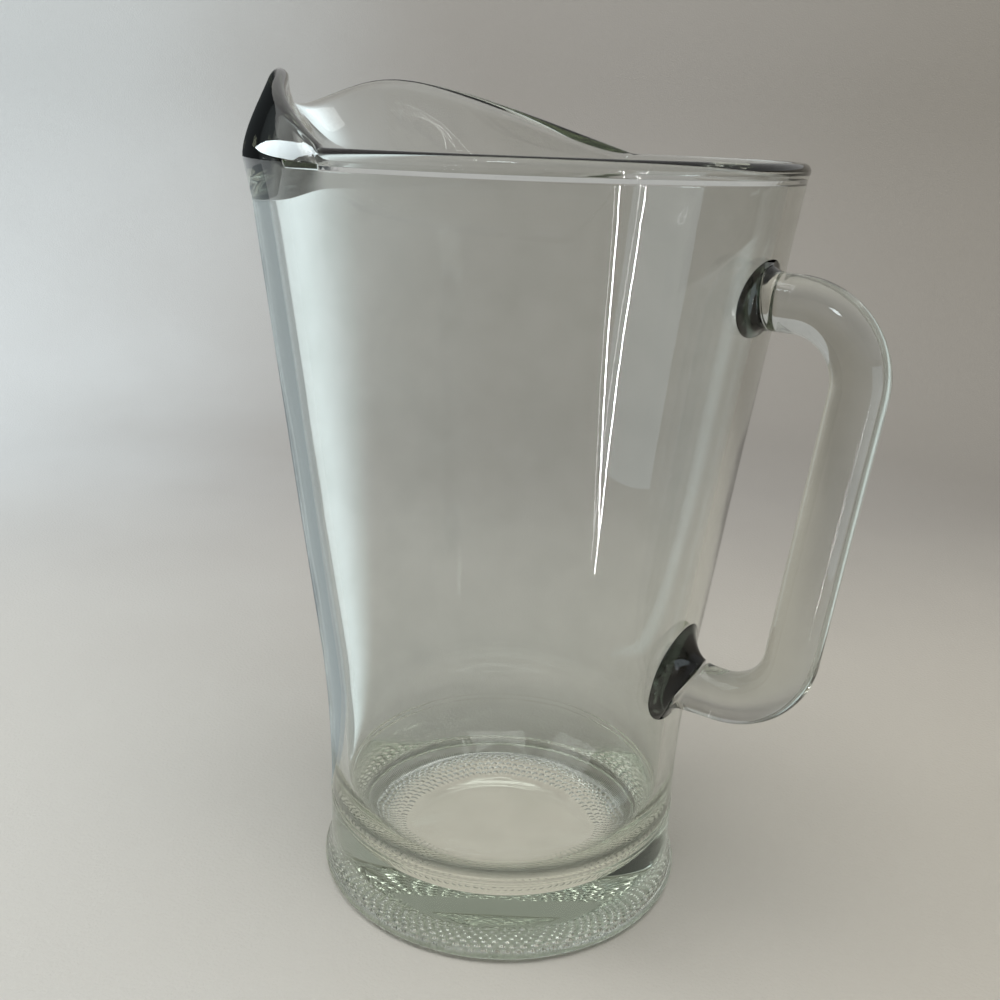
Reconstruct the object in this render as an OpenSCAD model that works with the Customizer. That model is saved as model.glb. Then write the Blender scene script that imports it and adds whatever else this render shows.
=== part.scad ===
// Glass beer pitcher: a pressed, tapered body with a thick base and a pinched
// pouring lip, and a solid glass rod handle fused to the wall through two pads.
// Millimetres. The origin is on the table at the middle of the foot, +Z is up,
// the handle points to +X and the pouring lip to -X.

/* [Body] */
// Height of the level rim above the table
rim_h = 209; // [190:1:230]
// Outer radius of the wall at the level rim
rim_r = 71.2; // [66:0.2:76]
// Thickness of the wall at the level rim
rim_wall = 4; // [3:0.1:5]
// Outer radius of the upright wall just above the base band
heel_r = 52; // [49:0.2:55]
// Thickness of the wall just above the inner floor
heel_wall = 4.7; // [3.6:0.1:6]
// Height at which the upright heel starts to curve outwards
heel_h = 27; // [26:0.5:32]
// Radius of the long curve from the upright heel into the sloping wall
heel_curve_r = 400; // [300:10:600]
// Height of the inner floor above the table
floor_h = 12; // [9:0.5:15]
// Radius of the curve between the inner floor and the wall
floor_fillet_r = 11; // [6:0.5:12]

/* [Base] */
// Outer radius of the base band
band_r = 52.2; // [49:0.1:55]
// Height of the groove that parts the base band from the wall
groove_h = 24.6; // [22:0.2:25]
// Width of that groove
groove_w = 1.8; // [1:0.1:2.4]
// Depth of that groove
groove_depth = 0.6; // [0.3:0.05:0.8]
// Outer radius of the flared foot
foot_r = 54.2; // [52.8:0.1:57]
// Height at which the band starts to flare into the foot
foot_h = 9; // [6:0.5:12]
// Radius of the foot's rounded lower edge
foot_round = 2.2; // [1:0.1:3]
// Outer radius of the shallow dish under the base
dish_r = 30; // [20:1:44]
// Depth of that dish in the middle
dish_depth = 1.4; // [0.6:0.1:2.5]

/* [Lip] */
// Height of the lip's crown above the level rim, before the dip is taken out
lip_rise = 21; // [14:0.5:26]
// Angle from the pouring point to where the lip meets the level rim
lip_half_angle = 85; // [72:1:95]
// Depth of the pouring dip in the lip's crown
pour_dip = 10; // [4:0.5:13]
// Angle over which that dip rises again
pour_dip_angle = 12; // [9:0.5:18]
// How far the lip's edge leans in over the mouth
lip_pinch = 7.4; // [4:0.2:12]
// How far the pouring point is drawn out from the leaning lip
pour_reach = 19.6; // [12:0.2:24]
// Angle over which the drawn-out pouring point falls back
pour_reach_angle = 11.6; // [9:0.2:15]
// Power of the lip's upward curve: 1 is a straight lean, more curls at the edge
lip_curl = 1.5; // [1:0.1:2]
// Share by which the lip's root is thicker than the rim at the pouring point
lip_swell = 0.5; // [0:0.05:0.6]
// Share of the rim's wall by which the lip thins again towards its edge
lip_taper = 0.2; // [0:0.05:0.4]

/* [Handle] */
// Diameter of the glass rod
rod_d = 13.6; // [11:0.2:16]
// Drop from the level rim to the axis of the upper arm
handle_drop = 30.6; // [26:0.2:40]
// Distance between the axes of the upper and the lower arm
handle_span = 102.9; // [90:0.5:112]
// Straight length of the upper arm between its pad and the upper bend
upper_neck = 4.6; // [3:0.2:14]
// Straight length of the lower arm between its pad and the lower bend
lower_neck = 5; // [3:0.2:14]
// Radius of the upper bend, at the rod's axis
upper_bend_r = 17; // [14:0.5:20]
// Radius of the lower bend, at the rod's axis
lower_bend_r = 18; // [14:0.5:20]

/* [Pads] */
// Outer radius of the upper pad on the wall
upper_pad_r = 10.2; // [9:0.1:11]
// Distance from the wall to where the upper pad's flare starts
upper_pad_reach = 3.6; // [3.4:0.1:5]
// Outer radius of the lower pad on the wall
lower_pad_r = 13; // [11:0.1:14]
// Distance from the wall to where the lower pad's flare starts
lower_pad_reach = 7.5; // [6.5:0.1:9]
// Angle by which the lower pad's flare leans up from the arm
lower_pad_tilt = 16; // [8:1:20]

/* [Hidden] */
$fn = 128;
body_colour = [0.80, 0.85, 0.82, 0.55];
handle_colour = [0.84, 0.87, 0.85, 0.60];
pad_colour = [0.45, 0.50, 0.47, 0.75];

// How far a cut runs past the face that it opens
overrun = 1;
// Height of the formed ring that carries the rim and the lip, below the rim
lip_ring_h = 12;
// How far that ring runs down over the turned wall
lip_lap = 2;
// How far the ring stands proud of the turned wall that it covers
lip_seat = 0.05;
// How far below the rim the lip leaves the line of the wall
lip_root = 1.4;
// How late the lip's lean fades where it meets the level rim, as a power
lean_fade = 3;
// Steps of the ring around the lip, around the level rim, up the lip and over its edge
lip_steps = 64;
rim_steps = 28;
lip_rows = 6;
edge_rows = 5;
// Points of the lip's middle line below its root
ring_rows = 2;
// How much narrower than the rod a leaning flare starts, inside the rod
flare_inset = 0.2;
// Angle by which the fine steps run past the lip on each side
lip_lead_angle = 5;
// Angle of the pouring lip about the body's axis
pour_angle = 180;

rod_r = rod_d / 2;
heel_inner_r = heel_r - heel_wall;
rim_inner_r = rim_r - rim_wall;
ring_z = rim_h - lip_ring_h;
turned_h = ring_z + lip_lap;
outer_slope = slope_angle(heel_r, rim_r);
inner_slope = slope_angle(heel_inner_r, rim_inner_r);
lip_half_wall = (wall_r(turned_h) - inner_r(turned_h)) / 2 * cos(outer_slope) + lip_seat;
foot_curve_r = (pow(foot_h - foot_round, 2) + pow(foot_r - band_r, 2)) / (2 * (foot_r - band_r));
groove_cut_r = (pow(groove_w / 2, 2) + pow(groove_depth, 2)) / (2 * groove_depth);
dish_ball_r = (pow(dish_r, 2) + pow(dish_depth, 2)) / (2 * dish_depth);

upper_z = rim_h - handle_drop;
lower_z = upper_z - handle_span;
upper_bend_x = wall_r(upper_z) + upper_pad_reach + upper_neck;
lower_bend_x = wall_r(lower_z) + lower_pad_reach + lower_neck;
bend_drop = handle_span - upper_bend_r - lower_bend_r;
bend_shift = upper_bend_x - lower_bend_x;
bend_distance = norm([bend_shift, bend_drop]);
// The grip runs along the line that touches both bends, so its lean follows the wall
grip_lean = atan2(bend_shift, bend_drop) - asin((lower_bend_r - upper_bend_r) / bend_distance);
grip_length = sqrt(pow(bend_distance, 2) - pow(lower_bend_r - upper_bend_r, 2));

// Slope of a wall that starts upright at the heel, follows the heel curve and
// then runs straight to the rim
function slope_angle(low_r, high_r) =
    let (rise = rim_h - heel_h, side = heel_curve_r - (high_r - low_r))
    atan2(rise, side) - acos(heel_curve_r / sqrt(rise * rise + side * side));

// Radius of such a wall at a height
function curved_r(z, low_r, slope) =
    let (up = z - heel_h, bend = heel_curve_r * sin(slope))
    up <= 0 ? low_r
    : up < bend ? low_r + heel_curve_r - sqrt(heel_curve_r * heel_curve_r - up * up)
    : low_r + heel_curve_r * (1 - cos(slope)) + (up - bend) * tan(slope);

function wall_r(z) = curved_r(z, heel_r, outer_slope);
function inner_r(z) = curved_r(z, heel_inner_r, inner_slope);
function middle_r(z) = (wall_r(z) + inner_r(z)) / 2;

// Share of the lip that is left at an angle from the pouring point: 1 there, 0 at the rim
function lip_share(phi) = phi < lip_half_angle ? cos(90 * phi / lip_half_angle) : 0;

// Bell that is 1 at the pouring point and falls off like a hanging chain's inverse
function pour_share(phi) =
    let (x = phi / pour_reach_angle)
    2 / (exp(x) + exp(-x)) * min(1, 4 * lip_share(phi));

// Height of the lip's edge above the rim, and how far it leans outwards
function lip_height(phi) =
    lip_rise * lip_share(phi) - pour_dip * exp(-pow(phi / pour_dip_angle, 2));
function lip_lean(phi) =
    pour_reach * pour_share(phi) - lip_pinch * (1 - pow(1 - lip_share(phi), lean_fade));

// Half the thickness of the ring at an angle and at one point of its middle line
function lip_half(phi, i) =
    let (
        swell = lip_swell * min(i / ring_rows, 1),
        taper = lip_taper * max(i - ring_rows, 0) / lip_rows
    )
    lip_half_wall * (1 + lip_share(phi) * (swell - taper));

// Middle line of the wall and the lip at an angle, from the ring's foot to its edge
function lip_spine(phi) =
    let (
        root_z = rim_h - lip_root - lip_half_wall,
        root_r = middle_r(root_z),
        edge_z = rim_h - lip_half(phi, ring_rows + lip_rows) + lip_height(phi),
        edge_r = middle_r(rim_h) + lip_lean(phi)
    )
    concat(
        [for (i = [0 : ring_rows - 1])
            let (z = ring_z + (root_z - ring_z) * i / ring_rows)
            [middle_r(z), z]],
        [for (i = [0 : lip_rows])
            let (s = i / lip_rows)
            [root_r + (edge_r - root_r) * pow(s, lip_curl), root_z + (edge_z - root_z) * s]]
    );

// Unit direction of the middle line at one of its points
function spine_dir(spine, i) =
    let (d = spine[min(i + 1, len(spine) - 1)] - spine[max(i - 1, 0)])
    d / norm(d);

// Closed outline of the ring at an angle: up the outside, over the round edge, down the inside
function lip_section(phi) =
    let (
        spine = lip_spine(phi),
        last = len(spine) - 1,
        edge_dir = spine_dir(spine, last)
    )
    concat(
        [for (i = [0 : last])
            let (d = i == 0 ? [0, 1] : spine_dir(spine, i))
            spine[i] + lip_half(phi, i) * [d[1], -d[0]]],
        [for (i = [1 : edge_rows - 1])
            let (a = 180 * i / edge_rows)
            spine[last] + lip_half(phi, last) * (cos(a) * [edge_dir[1], -edge_dir[0]] + sin(a) * edge_dir)],
        [for (i = [last : -1 : 0])
            let (d = i == 0 ? [0, 1] : spine_dir(spine, i))
            spine[i] - lip_half(phi, i) * [d[1], -d[0]]]
    );

// Angles around the body: fine steps over the lip, coarser ones over the level rim
function ring_angles() =
    let (half = lip_half_angle + lip_lead_angle)
    concat(
        [for (i = [0 : lip_steps - 1]) pour_angle - half + 2 * half * i / lip_steps],
        [for (i = [0 : rim_steps - 1]) pour_angle + half + (360 - 2 * half) * i / rim_steps]
    );

// Outline of the solid wall outside, from the heel to a height
module wall_outline(top, low_r, slope) {
    bend = heel_curve_r * sin(slope);
    difference() {
        polygon([
            [0, heel_h],
            [low_r, heel_h],
            [curved_r(heel_h + bend, low_r, slope), heel_h + bend],
            [curved_r(top, low_r, slope), top],
            [0, top]
        ]);
        translate([low_r + heel_curve_r, heel_h]) circle(r = heel_curve_r, $fn = 360);
    }
}

// Outline of the base: foot, flare, band and groove, with the dish under it
module base_outline() {
    difference() {
        union() {
            square([foot_r - foot_round, foot_h]);
            translate([foot_r - foot_round, foot_round]) circle(r = foot_round);
            difference() {
                translate([0, foot_round]) square([foot_r, foot_h - foot_round]);
                translate([band_r + foot_curve_r, foot_h]) circle(r = foot_curve_r);
            }
            translate([0, foot_h]) square([band_r, groove_h - foot_h]);
            square([heel_r, heel_h]);
        }
        translate([max(heel_r, band_r) - groove_depth + groove_cut_r, groove_h]) circle(r = groove_cut_r);
        translate([0, dish_depth - dish_ball_r]) circle(r = dish_ball_r, $fn = 360);
    }
}

// Outline of the space inside, up past the turned wall
module cavity_outline() {
    fillet_z = floor_h + floor_fillet_r;
    fillet_r = heel_inner_r - floor_fillet_r;
    translate([0, floor_h]) square([fillet_r, heel_h - floor_h]);
    translate([0, fillet_z]) square([heel_inner_r, max(heel_h - fillet_z, 0) + overrun]);
    intersection() {
        translate([fillet_r, fillet_z]) circle(r = floor_fillet_r);
        translate([0, floor_h]) square([heel_inner_r, floor_fillet_r]);
    }
    wall_outline(turned_h + overrun, heel_inner_r, inner_slope);
}

// Formed ring with the round rim and the pinched, pouring lip
module lip_ring() {
    angles = ring_angles();
    sections = [for (a = angles) lip_section(abs(a > 360 ? a - 360 - pour_angle : a - pour_angle))];
    n = len(angles);
    m = len(sections[0]);
    points = [for (k = [0 : n - 1], p = sections[k]) [p[0] * cos(angles[k]), p[0] * sin(angles[k]), p[1]]];
    faces = [for (k = [0 : n - 1], j = [0 : m - 1])
        let (k2 = (k + 1) % n, j2 = (j + 1) % m)
        each [[k * m + j, k * m + j2, k2 * m + j], [k2 * m + j, k * m + j2, k2 * m + j2]]];
    polyhedron(points = points, faces = faces, convexity = 6);
}

// Solid form of the wall outside, which the pads are fitted against
module wall_form() {
    rotate_extrude() wall_outline(turned_h, heel_r, outer_slope);
}

// Bend of the rod that leaves the XY plane upwards, about the place where it is drawn
module bend(bend_r, angle) {
    rotate([90, 0, 0])
        rotate_extrude(angle = angle)
            translate([bend_r, 0]) circle(r = rod_r);
}

// Half outline of a flare that starts at one radius, grows to the pad's and runs on into the wall
module flare_outline(start_r, pad_r, reach) {
    flare = pad_r - start_r;
    flare_r = (flare * flare + reach * reach) / (2 * flare);
    difference() {
        square([pad_r, reach + pad_r]);
        translate([start_r + flare_r, 0]) circle(r = flare_r, $fn = 180);
        translate([pad_r, -overrun]) square([flare_r, reach + overrun]);
    }
}

// Pad about an arm's axis: a straight neck from the bend, then a flare that is cut to the wall
module flared_pad(z, pad_r, reach, neck) {
    difference() {
        translate([wall_r(z) + reach + neck, 0, z])
            rotate([0, -90, 0])
                rotate_extrude() {
                    square([rod_r, neck + reach]);
                    translate([0, neck]) flare_outline(rod_r, pad_r, reach);
                }
        wall_form();
    }
}

// Pad whose flare leans up from the arm's axis, so that it reaches further up the wall than down
module leaning_pad(z, pad_r, reach, neck, tilt) {
    difference() {
        union() {
            translate([wall_r(z) + reach + neck, 0, z])
                rotate([0, -90, 0]) cylinder(r = rod_r, h = neck + reach + pad_r);
            translate([wall_r(z) + reach, 0, z])
                rotate([0, tilt - 90, 0])
                    rotate_extrude() flare_outline(rod_r - flare_inset, pad_r, reach);
        }
        wall_form();
    }
}

module body() {
    color(body_colour) {
        difference() {
            rotate_extrude() {
                base_outline();
                wall_outline(turned_h, heel_r, outer_slope);
            }
            rotate_extrude() cavity_outline();
        }
        lip_ring();
    }
}

module handle() {
    color(handle_colour)
        translate([upper_bend_x, 0, upper_z - upper_bend_r])
            rotate([0, grip_lean, 0]) {
                bend(upper_bend_r, 90 + grip_lean);
                translate([upper_bend_r, 0, -grip_length]) cylinder(r = rod_r, h = grip_length);
                translate([upper_bend_r - lower_bend_r, 0, -grip_length])
                    mirror([0, 0, 1]) bend(lower_bend_r, 90 - grip_lean);
            }
}

module upper_handle_pad() {
    color(pad_colour) flared_pad(upper_z, upper_pad_r, upper_pad_reach, upper_neck);
}

module lower_handle_pad() {
    color(pad_colour) leaning_pad(lower_z, lower_pad_r, lower_pad_reach, lower_neck, lower_pad_tilt);
}

body();
handle();
upper_handle_pad();
lower_handle_pad();
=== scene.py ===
"""Looks of a glass beer pitcher: one pressed body with a pinched lip, and a rod handle fused to its wall.

Every length is in metres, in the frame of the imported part: the origin is on the table at the middle of the
foot, +Z is up, the handle points to +X and the pouring lip to -X.
"""

import logging
import math
from dataclasses import dataclass, field
from enum import Enum

import bpy
import numpy as np
from mathutils import Matrix, Vector


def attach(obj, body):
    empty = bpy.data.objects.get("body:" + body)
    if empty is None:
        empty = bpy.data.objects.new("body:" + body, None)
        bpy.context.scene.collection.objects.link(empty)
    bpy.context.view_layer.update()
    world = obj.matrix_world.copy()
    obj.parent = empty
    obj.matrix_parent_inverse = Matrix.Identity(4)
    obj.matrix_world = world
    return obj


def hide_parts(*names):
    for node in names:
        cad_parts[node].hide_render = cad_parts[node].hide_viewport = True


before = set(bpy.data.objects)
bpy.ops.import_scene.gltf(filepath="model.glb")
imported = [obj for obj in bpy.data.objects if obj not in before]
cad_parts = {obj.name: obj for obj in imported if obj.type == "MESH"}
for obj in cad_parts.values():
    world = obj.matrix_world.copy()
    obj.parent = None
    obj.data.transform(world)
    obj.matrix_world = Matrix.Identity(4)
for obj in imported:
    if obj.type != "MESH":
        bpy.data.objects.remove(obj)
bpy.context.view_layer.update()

log = logging.getLogger("pitcher")

Ring = np.ndarray
Colour = tuple[float, float, float]
Place = tuple[float, float, float]
Limits = tuple[float, float]
Tone = Colour | bpy.types.NodeSocket

NOISE_MIDDLE = 0.5


class Side(Enum):
    """The two surfaces of the glass wall."""

    OUTER = 1
    INNER = -1


class Value:
    """A number in a shader, whose operators add Math nodes."""

    def __init__(self, shader: "Shader", socket: bpy.types.NodeSocket) -> None:
        """Wraps one output socket of a shader's node."""
        self.shader = shader
        self.socket = socket

    def math(self, operation: str, *others: "Value | float") -> "Value":
        """One Math node with this value first.

        Args:
            operation: name of the Math node's operation.
            others: the remaining operands, in order.

        Returns:
            The node's result.
        """
        return self.shader.math(operation, self, *others)

    def __add__(self, other: "Value | float") -> "Value":
        """Sum."""
        return self.math("ADD", other)

    __radd__ = __add__

    def __mul__(self, other: "Value | float") -> "Value":
        """Product."""
        return self.math("MULTIPLY", other)

    __rmul__ = __mul__

    def __sub__(self, other: "Value | float") -> "Value":
        """Difference."""
        return self.math("SUBTRACT", other)

    def __rsub__(self, other: float) -> "Value":
        """Difference from a number."""
        return self.shader.math("SUBTRACT", other, self)

    def __truediv__(self, other: "Value | float") -> "Value":
        """Quotient."""
        return self.math("DIVIDE", other)

    def between(self, low: float, high: float) -> "Value":
        """Rises smoothly from 0 at the low limit to 1 at the high one.

        Args:
            low: value at which the rise starts.
            high: value at which the rise ends.

        Returns:
            The share of the rise.
        """
        return self.shader.value(
            "ShaderNodeMapRange",
            {"interpolation_type": "SMOOTHSTEP"},
            {"Value": self, "From Min": low, "From Max": high},
            "Result",
        )


class Shader:
    """A node tree that is filled one node at a time."""

    def __init__(self, tree: bpy.types.NodeTree) -> None:
        """Empties the tree."""
        self.tree = tree
        tree.nodes.clear()

    def node(self, kind: str, settings: dict | None = None, sockets: dict | None = None) -> bpy.types.Node:
        """Adds a node.

        Args:
            kind: the node's type name.
            settings: properties that are set before the sockets are looked up.
            sockets: input name or index to a Value, an output socket or a plain value.

        Returns:
            The new node.
        """
        made = self.tree.nodes.new(kind)
        for name, setting in (settings or {}).items():
            setattr(made, name, setting)
        for name, given in (sockets or {}).items():
            source = given.socket if isinstance(given, Value) else given
            if isinstance(source, bpy.types.NodeSocket):
                self.tree.links.new(source, made.inputs[name])
            else:
                made.inputs[name].default_value = source
        return made

    def value(self, kind: str, settings: dict | None, sockets: dict | None, output: str) -> Value:
        """Adds a node and wraps one of its outputs."""
        return Value(self, self.node(kind, settings, sockets).outputs[output])

    def math(self, operation: str, *operands: "Value | float") -> Value:
        """Adds a Math node for the operands in order."""
        sockets = dict(enumerate(operands))
        return self.value("ShaderNodeMath", {"operation": operation}, sockets, "Value")

    def place(self) -> tuple[bpy.types.NodeSocket, Value, Value, Value]:
        """Object coordinates as a vector and as its three numbers.

        Returns:
            The vector's socket, then x, y and z.
        """
        coordinates = self.node("ShaderNodeTexCoord").outputs["Object"]
        parts = self.node("ShaderNodeSeparateXYZ", None, {"Vector": coordinates})
        return coordinates, *(Value(self, parts.outputs[axis]) for axis in "XYZ")

    def mix(self, share: Value, low: Tone, high: Tone) -> bpy.types.NodeSocket:
        """Mixes a colour towards another.

        Args:
            share: 0 for the first colour, 1 for the second.
            low: the first colour, or a socket that carries one.
            high: the second colour, or a socket that carries one.

        Returns:
            The mixed colour's socket.
        """
        first, second = ((*tone, 1.0) if isinstance(tone, tuple) else tone for tone in (low, high))
        sockets = {"Factor": share, 6: first, 7: second}
        return self.node("ShaderNodeMix", {"data_type": "RGBA"}, sockets).outputs["Result"]

    def noise(self, place: bpy.types.NodeSocket, scale: float, detail: float) -> Value:
        """Cloudy noise from 0 to 1 with so many lumps to a metre."""
        sockets = {"Vector": place, "Scale": scale, "Detail": detail}
        return self.value("ShaderNodeTexNoise", None, sockets, "Fac")

    def blend(
        self, share: Value, first: bpy.types.NodeSocket, second: bpy.types.NodeSocket
    ) -> bpy.types.NodeSocket:
        """Mixes one surface towards another by a share from 0 to 1."""
        return self.node("ShaderNodeMixShader", None, {0: share, 1: first, 2: second}).outputs["Shader"]


def new_material(name: str) -> tuple[bpy.types.Material, Shader]:
    """Makes a material with an empty node tree.

    Args:
        name: name of the material.

    Returns:
        The material and the shader that fills it.
    """
    made = bpy.data.materials.new(name)
    made.use_nodes = True
    return made, Shader(made.node_tree)


@dataclass(frozen=True)
class Footprint:
    """Outline of a pad on the wall: its arm's height, and its reach to the sides, up and down."""

    height: float
    side: float
    top: float
    low: float
    wall_middle: float
    margin: float = 0.995

    def inside(self, shader: Shader) -> Value:
        """Marks the outside of the wall within the outline, where the pad's glass goes on.

        Args:
            shader: the shader of the body's glass.

        Returns:
            1 within the outline and 0 elsewhere.
        """
        _, x, y, z = shader.place()
        up = z - self.height
        reach = self.low + up.math("GREATER_THAN", 0.0) * (self.top - self.low)
        across, upright = y * y, up * up
        both = across + upright
        edge = (across * self.side + upright * reach) / both
        outside = (x * x + across).math("GREATER_THAN", self.wall_middle**2)
        return both.math("LESS_THAN", edge * edge * self.margin) * outside * x.math("GREATER_THAN", 0.0)


@dataclass(frozen=True)
class JointFinish:
    """The inner faces where two pieces of glass are melted together, which do not show."""

    name: str = "melted_joint"

    def material(self) -> bpy.types.Material:
        """Makes a material that light passes straight through.

        Returns:
            The finished material.
        """
        made, shader = new_material(self.name)
        clear = shader.node("ShaderNodeBsdfTransparent")
        shader.node("ShaderNodeOutputMaterial", None, {"Surface": clear.outputs["BSDF"]})
        return made


@dataclass(frozen=True)
class GlassFinish:
    """Clear pressed glass with a faint grey-green body colour."""

    name: str
    body_colour: Colour = (0.60, 0.66, 0.54)
    density: float = 16.0
    clear_tone: Colour = (0.905, 0.915, 0.91)
    worn_tone: Colour = (0.865, 0.88, 0.87)
    index: float = 1.5
    wave_scale: float = 38.0
    wave_detail: float = 1.0
    wave_rise: Limits = (0.024, 0.06)
    wave_height: float = 0.00006
    cloud_scale: float = 90.0
    cloud_detail: float = 4.0
    worn_limits: Limits = (0.35, 0.75)
    haze: float = 0.012
    haze_limits: Limits = (0.45, 0.9)
    ridges: int = 340
    ridge_start: Limits = (0.046, 0.050)
    ridge_top: float = 0.0075
    ridge_height: float = 0.00007
    joints: tuple[Footprint, ...] = ()

    def material(self) -> bpy.types.Material:
        """Makes the material.

        The surface is smooth transmitting glass. Slow waves from the mould, and fine upright ridges on the
        lowest part, bend its normal. Its roughness has a faint cloudy haze, and its depth absorbs the tint.

        Returns:
            The finished material.
        """
        made, shader = new_material(self.name)
        place, x, y, z = shader.place()
        waves = shader.noise(place, self.wave_scale, self.wave_detail) * z.between(*self.wave_rise)
        outermost = (x * x + y * y).math("SQRT").between(*self.ridge_start)
        foot = outermost * (1 - z.between(0.0, self.ridge_top))
        ridges = (y.math("ARCTAN2", x) * self.ridges).math("SINE") * foot
        height = waves * self.wave_height + ridges * self.ridge_height
        bump = shader.node("ShaderNodeBump", None, {"Height": height, "Distance": 1.0, "Strength": 1.0})
        clouds = shader.noise(place, self.cloud_scale, self.cloud_detail)
        smear = shader.mix(clouds.between(*self.worn_limits), self.clear_tone, self.worn_tone)
        surface = shader.node(
            "ShaderNodeBsdfPrincipled",
            None,
            {
                "Base Color": smear,
                "Roughness": clouds.between(*self.haze_limits) * self.haze,
                "IOR": self.index,
                "Transmission Weight": 1.0,
                "Normal": bump.outputs["Normal"],
            },
        )
        skin = surface.outputs["BSDF"]
        if self.joints:
            melted = sum(joint.inside(shader) for joint in self.joints)
            clear = shader.node("ShaderNodeBsdfTransparent").outputs["BSDF"]
            skin = shader.blend(melted, skin, clear)
        tint = {"Color": (*self.body_colour, 1.0), "Density": self.density}
        depth = shader.node("ShaderNodeVolumeAbsorption", None, tint).outputs["Volume"]
        shader.node("ShaderNodeOutputMaterial", None, {"Surface": skin, "Volume": depth})
        return made


@dataclass(frozen=True)
class ClothFinish:
    """Pale matt cloth of the floor and the backdrop, with light and shade painted into its colour."""

    name: str = "pale_cloth"
    # Painted light: the backdrop's colour where it is lit, at the camera's left, bluish like the light.
    painted_light_left: Colour = (0.70, 0.745, 0.76)
    # Painted shade: the backdrop's dimmer colour behind the body.
    middle: Colour = (0.39, 0.375, 0.35)
    # Painted shade: the backdrop's dimmer, browner colour at the camera's right.
    painted_shade_right: Colour = (0.33, 0.31, 0.275)
    # Painted light and shade: the floor is paler at its left, where light falls, and darker at its right.
    painted_light_floor_left: Colour = (0.595, 0.595, 0.56)
    painted_light_floor_right: Colour = (0.54, 0.51, 0.445)
    # Painted light: the glow that the glass shows under the base, its strength and its reach.
    under: Colour = (0.84, 0.78, 0.67)
    painted_glow_level: float = 0.76
    painted_glow_edge: Limits = (0.036, 0.054)
    heading: float = 33.5
    reach: float = 0.50
    floor_limits: Limits = (-0.2, 0.2)
    back_limits: Limits = (0.0, 0.4)
    cloud_scale: float = 6.0
    cloud_detail: float = 3.0
    cloud_shift: float = 0.12
    weave_scale: float = 900.0
    weave_detail: float = 2.0
    weave_height: float = 0.0002
    roughness: float = 0.9

    def material(self) -> bpy.types.Material:
        """Makes the material.

        Light and shade are painted into the colour. The backdrop is lit and bluish at the camera's left, has
        a painted shade behind the body, and is shaded, dimmer and browner at its right. The floor is paler,
        lit at its left and shaded at its right. Soft clouds move these limits, and a fine weave bends the
        normal. Under the base, where a renderer carries little light through glass, the glass shows a
        painted glow of light in place of the floor.

        Returns:
            The finished material.
        """
        made, shader = new_material(self.name)
        place, x, y, _ = shader.place()
        turn = math.radians(self.heading)
        clouds = (shader.noise(place, self.cloud_scale, self.cloud_detail) - NOISE_MIDDLE) * self.cloud_shift
        right = x * math.cos(turn) + y * math.sin(turn) + clouds
        away = y * math.cos(turn) - x * math.sin(turn) + clouds
        # Painted light and shade: the backdrop is lit at the left, and shaded in the middle and at the
        # right.
        painted_light_left_back = shader.mix((right * -1.0).between(0.0, self.reach), self.middle, self.painted_light_left)
        back = shader.mix(right.between(0.0, self.reach), painted_light_left_back, self.painted_shade_right)
        floor = shader.mix(right.between(*self.floor_limits), self.painted_light_floor_left, self.painted_light_floor_right)
        tone = shader.mix(away.between(*self.back_limits), floor, back)
        weave = shader.noise(place, self.weave_scale, self.weave_detail) * self.weave_height
        bump = shader.node("ShaderNodeBump", None, {"Height": weave, "Distance": 1.0})
        surface = shader.node(
            "ShaderNodeBsdfPrincipled",
            None,
            {
                "Base Color": tone,
                "Roughness": self.roughness,
                "Specular IOR Level": 0.0,
                "Normal": bump.outputs["Normal"],
            },
        )
        # Painted light: rays through the glass see a glow under the base in place of the cloth.
        through = shader.value("ShaderNodeLightPath", None, None, "Is Transmission Ray")
        under = 1 - (x * x + y * y).math("SQRT").between(*self.painted_glow_edge)
        painted_glow_settings = {"Color": (*self.under, 1.0), "Strength": self.painted_glow_level}
        glow = shader.node("ShaderNodeEmission", None, painted_glow_settings).outputs["Emission"]
        lit = shader.blend(through * under, surface.outputs["BSDF"], glow)
        shader.node("ShaderNodeOutputMaterial", None, {"Surface": lit})
        return made


@dataclass(frozen=True)
class CardFinish:
    """Card beside the set, which shows as one soft tone in the glass."""

    name: str
    colour: Colour
    level: float
    solid: float
    clear: float
    start: float
    heading: float
    cloud_scale: float = 9.0
    cloud_detail: float = 2.0
    dim: float = 0.9

    def material(self) -> bpy.types.Material:
        """Makes the material: an even glow with faint clouds, which fades between two headings.

        Returns:
            The finished material.
        """
        made, shader = new_material(self.name)
        place, x, y, _ = shader.place()
        turn = math.radians(self.heading)
        right = x * math.cos(turn) + y * math.sin(turn) - self.start
        away = y * math.cos(turn) - x * math.sin(turn)
        fade = right.math("ARCTAN2", away).between(math.radians(self.solid), math.radians(self.clear))
        clouds = shader.noise(place, self.cloud_scale, self.cloud_detail)
        tone = shader.mix(clouds, self.colour, tuple(self.dim * channel for channel in self.colour))
        lit = {"Color": tone, "Strength": self.level}
        glow = shader.node("ShaderNodeEmission", None, lit).outputs["Emission"]
        clear = shader.node("ShaderNodeBsdfTransparent").outputs["BSDF"]
        shader.node("ShaderNodeOutputMaterial", None, {"Surface": shader.blend(fade, glow, clear)})
        return made


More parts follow.
